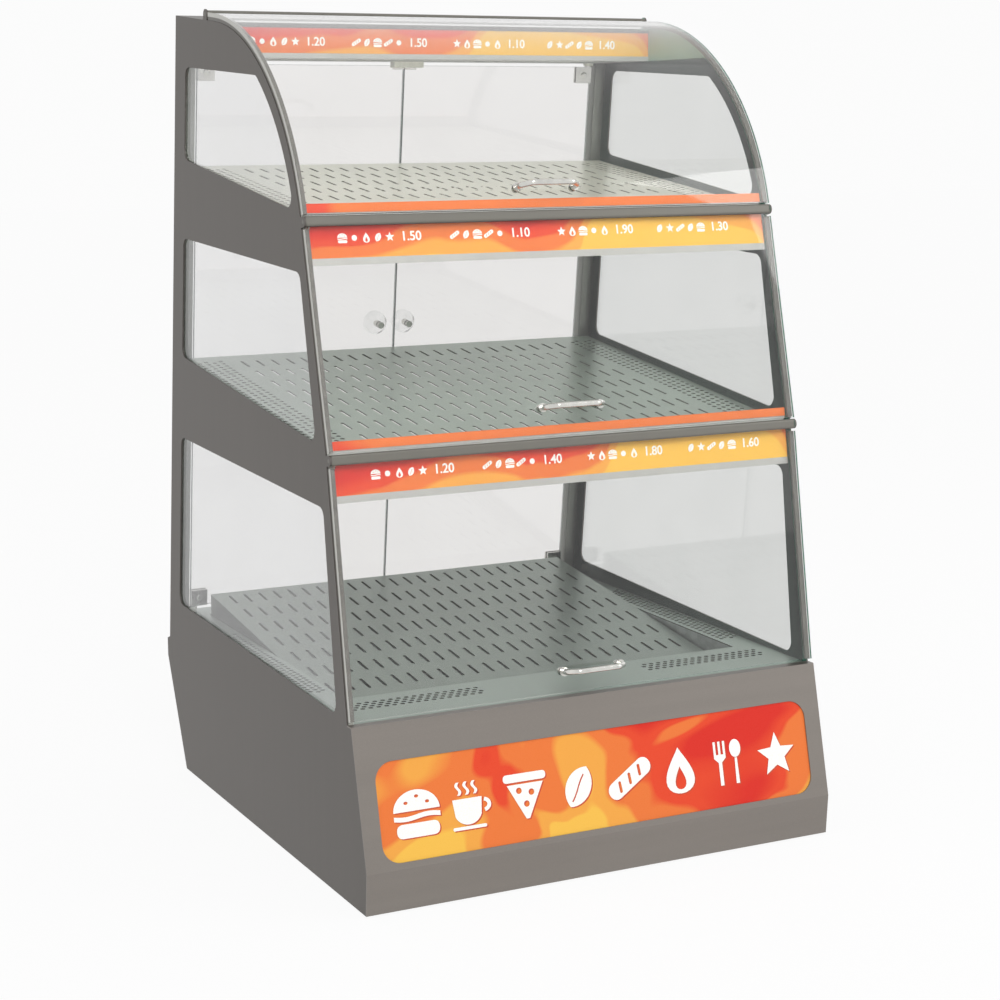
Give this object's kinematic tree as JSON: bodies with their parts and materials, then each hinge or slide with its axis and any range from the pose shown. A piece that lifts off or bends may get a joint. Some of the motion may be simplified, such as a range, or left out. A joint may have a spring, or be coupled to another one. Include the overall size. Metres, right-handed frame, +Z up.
{
  "type": "heated display case",
  "caption": "Heated countertop display case with sloping slotted shelves, lift-up front glasses, hinged rear doors, a lift-out slotted tray and a printed base panel.",
  "frame": {"origin": "centre of the case on the surface it stands on", "axes": "+Z up, +X to the right seen from the front, +Y from the glass front to the rear doors"},
  "size_m": [0.62, 0.6776, 1.0025],
  "materials": {
    "panel": "satin metallic grey paint",
    "shelf_metal": "satin grey-green",
    "strip_metal": "satin grey",
    "galvanised": "plain zinc-coated sheet",
    "glass": "polished, green edges",
    "clear_seal": "translucent",
    "sign_print": "printed, gloss",
    "strip_print": "printed film, gloss",
    "trim_print": "printed, gloss",
    "diffuser_white": "milky",
    "lamp_white": "white coated tube",
    "white_plastic": "satin",
    "black_plastic": "fine grain",
    "rocker_red": "gloss",
    "knob_clear": "translucent",
    "hinge_aluminium": "satin",
    "bright_steel": "polished",
    "element_steel": "heat-tinted",
    "foot_rubber": "matt"
  },
  "bodies": {
    "case": {"base_front_panel": "panel", "base_sign": "sign_print", "base_rear_panel": "panel", "base_floor": "galvanised", "feet": "foot_rubber", "side_panel_left": "panel", "side_panel_right": "panel", "side_glass_left": "glass", "side_glass_right": "glass", "edge_seals_left": "clear_seal", "edge_seals_right": "clear_seal", "deck": "shelf_metal", "heat_well": "galvanised", "strip_housing_lower": "strip_metal", "strip_housing_upper": "strip_metal", "strip_film_lower": "strip_print", "strip_film_upper": "strip_print", "strip_trim_lower": "trim_print", "strip_trim_upper": "trim_print", "shelf_lower": "shelf_metal", "shelf_upper": "shelf_metal", "header_housing": "strip_metal", "header_diffuser": "diffuser_white", "header_film": "strip_print", "roof_cover": "panel", "tube_lower": "lamp_white", "tube_upper": "lamp_white", "tube_header": "lamp_white", "tube_holders": "white_plastic", "rear_post_left": "strip_metal", "rear_post_right": "strip_metal", "pivot_bushes": "white_plastic", "magnet_catch": "white_plastic", "thermostat": "galvanised", "switch_frames": "black_plastic", "power_inlet": "black_plastic", "fan_frame": "black_plastic", "heater_element": "element_steel", "ballast_box": "galvanised", "screws": "bright_steel"},
    "front_lower": {"front_lower_glass": "glass", "front_lower_hinge_bar": "hinge_aluminium", "front_lower_handle": "bright_steel"},
    "front_middle": {"front_middle_glass": "glass", "front_middle_hinge_bar": "hinge_aluminium", "front_middle_handle": "bright_steel"},
    "front_upper": {"front_upper_glass": "glass", "front_upper_hinge_bar": "hinge_aluminium", "front_upper_handle": "bright_steel"},
    "door_left": {"door_left_glass": "glass", "door_left_metal": "bright_steel", "door_left_knob": "knob_clear"},
    "door_right": {"door_right_glass": "glass", "door_right_metal": "bright_steel", "door_right_knob": "knob_clear"},
    "tray": {"tray": "shelf_metal"},
    "fan": {"fan_rotor": "black_plastic"},
    "dial": {"thermostat_dial": "black_plastic"},
    "power_rocker": {"rocker_power": "rocker_red"},
    "light_rocker": {"rocker_light": "rocker_red"}
  },
  "joints": [
    {"name": "front_lower_hinge", "type": "hinge", "parent": "case", "child": "front_lower", "pos_m": [0, -0.24517, 0.50168], "axis": [-1, 0, 0], "range_deg": [0, 75]},
    {"name": "front_middle_hinge", "type": "hinge", "parent": "case", "child": "front_middle", "pos_m": [0, -0.18073, 0.7612], "axis": [-1, 0, 0], "range_deg": [0, 75]},
    {"name": "front_upper_hinge", "type": "hinge", "parent": "case", "child": "front_upper", "pos_m": [0, 0.12565, 0.9965], "axis": [-1, 0, 0], "range_deg": [0, 75]},
    {"name": "door_left_hinge", "type": "hinge", "parent": "case", "child": "door_left", "pos_m": [-0.28, 0.30937, 0.219], "axis": [0, -0.1136, 0.9935], "range_deg": [0, 90]},
    {"name": "door_right_hinge", "type": "hinge", "parent": "case", "child": "door_right", "pos_m": [0.28, 0.30937, 0.219], "axis": [0, 0.1136, -0.9935], "range_deg": [0, 90]},
    {"name": "tray_lift", "type": "slide", "parent": "case", "child": "tray", "axis": [0, 0, 1], "range_m": [0, 0.08]},
    {"name": "fan_spin", "type": "hinge", "parent": "case", "child": "fan", "pos_m": [0, 0.1192, 0.12], "axis": [0, 0, 1], "continuous": true},
    {"name": "dial_turn", "type": "hinge", "parent": "case", "child": "dial", "pos_m": [-0.17, 0.30828, 0.08], "axis": [0, -0.9076, 0.4198], "range_deg": [0, 270]},
    {"name": "power_rocker_tilt", "type": "hinge", "parent": "case", "child": "power_rocker", "pos_m": [-0.075, 0.30691, 0.08063], "axis": [-1, 0, 0], "range_deg": [0, 20]},
    {"name": "light_rocker_tilt", "type": "hinge", "parent": "case", "child": "light_rocker", "pos_m": [-0.025, 0.30691, 0.08063], "axis": [-1, 0, 0], "range_deg": [0, 20]}
  ]
}
